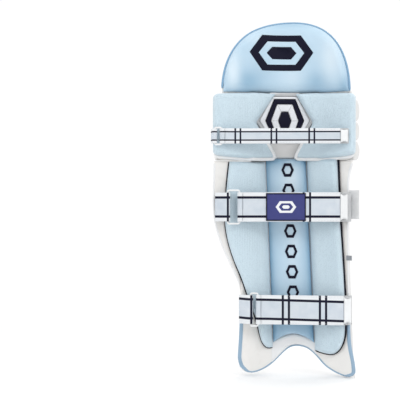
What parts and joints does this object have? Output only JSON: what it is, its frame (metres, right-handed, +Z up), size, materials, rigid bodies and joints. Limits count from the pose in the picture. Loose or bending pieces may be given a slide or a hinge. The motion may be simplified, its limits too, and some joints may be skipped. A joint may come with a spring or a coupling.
{
  "type": "cricket leg pad",
  "caption": "Upright cricket batting leg pad with vertical canes, knee rolls, a domed top hat, a calf wing and ringed hook-and-loop straps.",
  "frame": {"origin": "the point on the flat face of the shin channel pad where the wearer's shin rests, level with the calf strap", "axes": "+Z up the leg, +Y from the pad towards the leg and the straps, -Y the outer face that meets the ball, +X the side with the calf wing and the strap rings"},
  "size_m": [0.296, 0.1307, 0.7376],
  "materials": {
    "white_cover": "smooth polyurethane-coated cloth, sewn and padded",
    "foam": "high-density foam and stiffened cloth, hidden inside the covers",
    "rattan": "natural split cane rod",
    "blue_mesh": "pale blue ventilated mesh over foam",
    "blue_satin": "sky blue satin lining",
    "webbing": "woven webbing in pale blue and white with navy lines",
    "loop_pile": "white loop pile webbing",
    "white_plastic": "moulded white plastic",
    "silver": "silver moulded film",
    "navy": "navy patch"
  },
  "bodies": {
    "pad": {"shin_backing": "foam", "knee_backing": "foam", "shin_channel_pad": "blue_satin", "shin_bolster_outer": "blue_mesh", "shin_bolster_wing_side": "blue_mesh", "knee_cup": "silver", "knee_flap_wing_side": "blue_mesh", "knee_flap_outer": "blue_mesh", "instep_panel": "white_cover", "instep_badge": "silver", "cane_cap_row": "white_cover", "shin_cane_cover_1": "white_cover", "shin_cane_cover_2": "white_cover", "shin_cane_cover_3": "white_cover", "shin_cane_cover_4": "white_cover", "shin_cane_cover_5": "white_cover", "shin_cane_cover_6": "white_cover", "shin_cane_cover_7": "white_cover", "shin_cane_rod_1": "rattan", "shin_cane_rod_2": "rattan", "shin_cane_rod_3": "rattan", "shin_cane_rod_4": "rattan", "shin_cane_rod_5": "rattan", "shin_cane_rod_6": "rattan", "shin_cane_rod_7": "rattan", "knee_roll_lower": "white_cover", "knee_roll_core_lower": "foam", "knee_roll_middle": "white_cover", "knee_roll_core_middle": "foam", "knee_roll_upper": "white_cover", "knee_roll_core_upper": "foam", "knee_strap_base": "loop_pile", "knee_ring": "white_plastic", "knee_ring_tab": "webbing", "ankle_strap_base": "loop_pile", "ankle_ring": "white_plastic", "ankle_ring_tab": "webbing"},
    "top_hat": {"top_hat_backing": "foam", "top_hat_cane_1": "white_cover", "top_hat_cane_2": "white_cover", "top_hat_cane_3": "white_cover", "top_hat_cane_4": "white_cover", "top_hat_cane_5": "white_cover", "top_hat_cane_6": "white_cover", "top_hat_cane_7": "white_cover", "top_hat_side_pad": "white_cover", "top_hat_lining": "blue_satin"},
    "calf_wing": {"wing_backing": "foam", "wing_bolster": "blue_mesh", "calf_ring_tab": "webbing"},
    "calf_strap_run": {"calf_strap_base": "loop_pile"},
    "calf_strap_loop": {"calf_ring": "white_plastic", "calf_strap_turn": "loop_pile"},
    "calf_strap_free_end": {"calf_strap_flap": "webbing", "calf_strap_tip": "white_plastic", "calf_strap_label": "navy"},
    "knee_strap_free_end": {"knee_strap_flap": "webbing", "knee_strap_tip": "white_plastic"},
    "ankle_strap_free_end": {"ankle_strap_flap": "webbing", "ankle_strap_tip": "white_plastic"}
  },
  "joints": [
    {"name": "knee_flex", "type": "hinge", "parent": "pad", "child": "top_hat", "pos_m": [0, 0.047, 0.237], "axis": [-1, 0, 0], "range_deg": [0, 8], "stiffness_Nm_per_rad": 1},
    {"name": "wing_fold", "type": "hinge", "parent": "pad", "child": "calf_wing", "pos_m": [0.10325, 0.0335, -0.045], "axis": [-0.076, -0.0283, 0.9967], "range_deg": [0, 20], "stiffness_Nm_per_rad": 0.3},
    {"name": "calf_strap_anchor_bend", "type": "hinge", "parent": "pad", "child": "calf_strap_run", "pos_m": [-0.1125, 0.0305, 0], "axis": [0, 0, 1], "range_deg": [0, 3]},
    {"name": "calf_ring_swing", "type": "hinge", "parent": "calf_wing", "child": "calf_strap_loop", "pos_m": [0.13796, 0.05837, 0], "axis": [0, 0, 1], "range_deg": [-17, 0]},
    {"name": "calf_strap_peel", "type": "hinge", "parent": "calf_strap_loop", "child": "calf_strap_free_end", "pos_m": [0.10745, 0.06113, 0], "axis": [0, 0, -1], "range_deg": [0, 160]},
    {"name": "knee_strap_peel", "type": "hinge", "parent": "pad", "child": "knee_strap_free_end", "pos_m": [0.14298, 0.07417, 0.1445], "axis": [0, 0, -1], "range_deg": [0, 160]},
    {"name": "ankle_strap_peel", "type": "hinge", "parent": "pad", "child": "ankle_strap_free_end", "pos_m": [0.07084, 0.04519, -0.211], "axis": [0, 0, -1], "range_deg": [0, 160]}
  ],
  "couplings": [
    {"joint": "calf_strap_anchor_bend", "follows": "wing_fold", "ratio": 0.14},
    {"joint": "calf_ring_swing", "follows": "wing_fold", "ratio": -0.84}
  ]
}
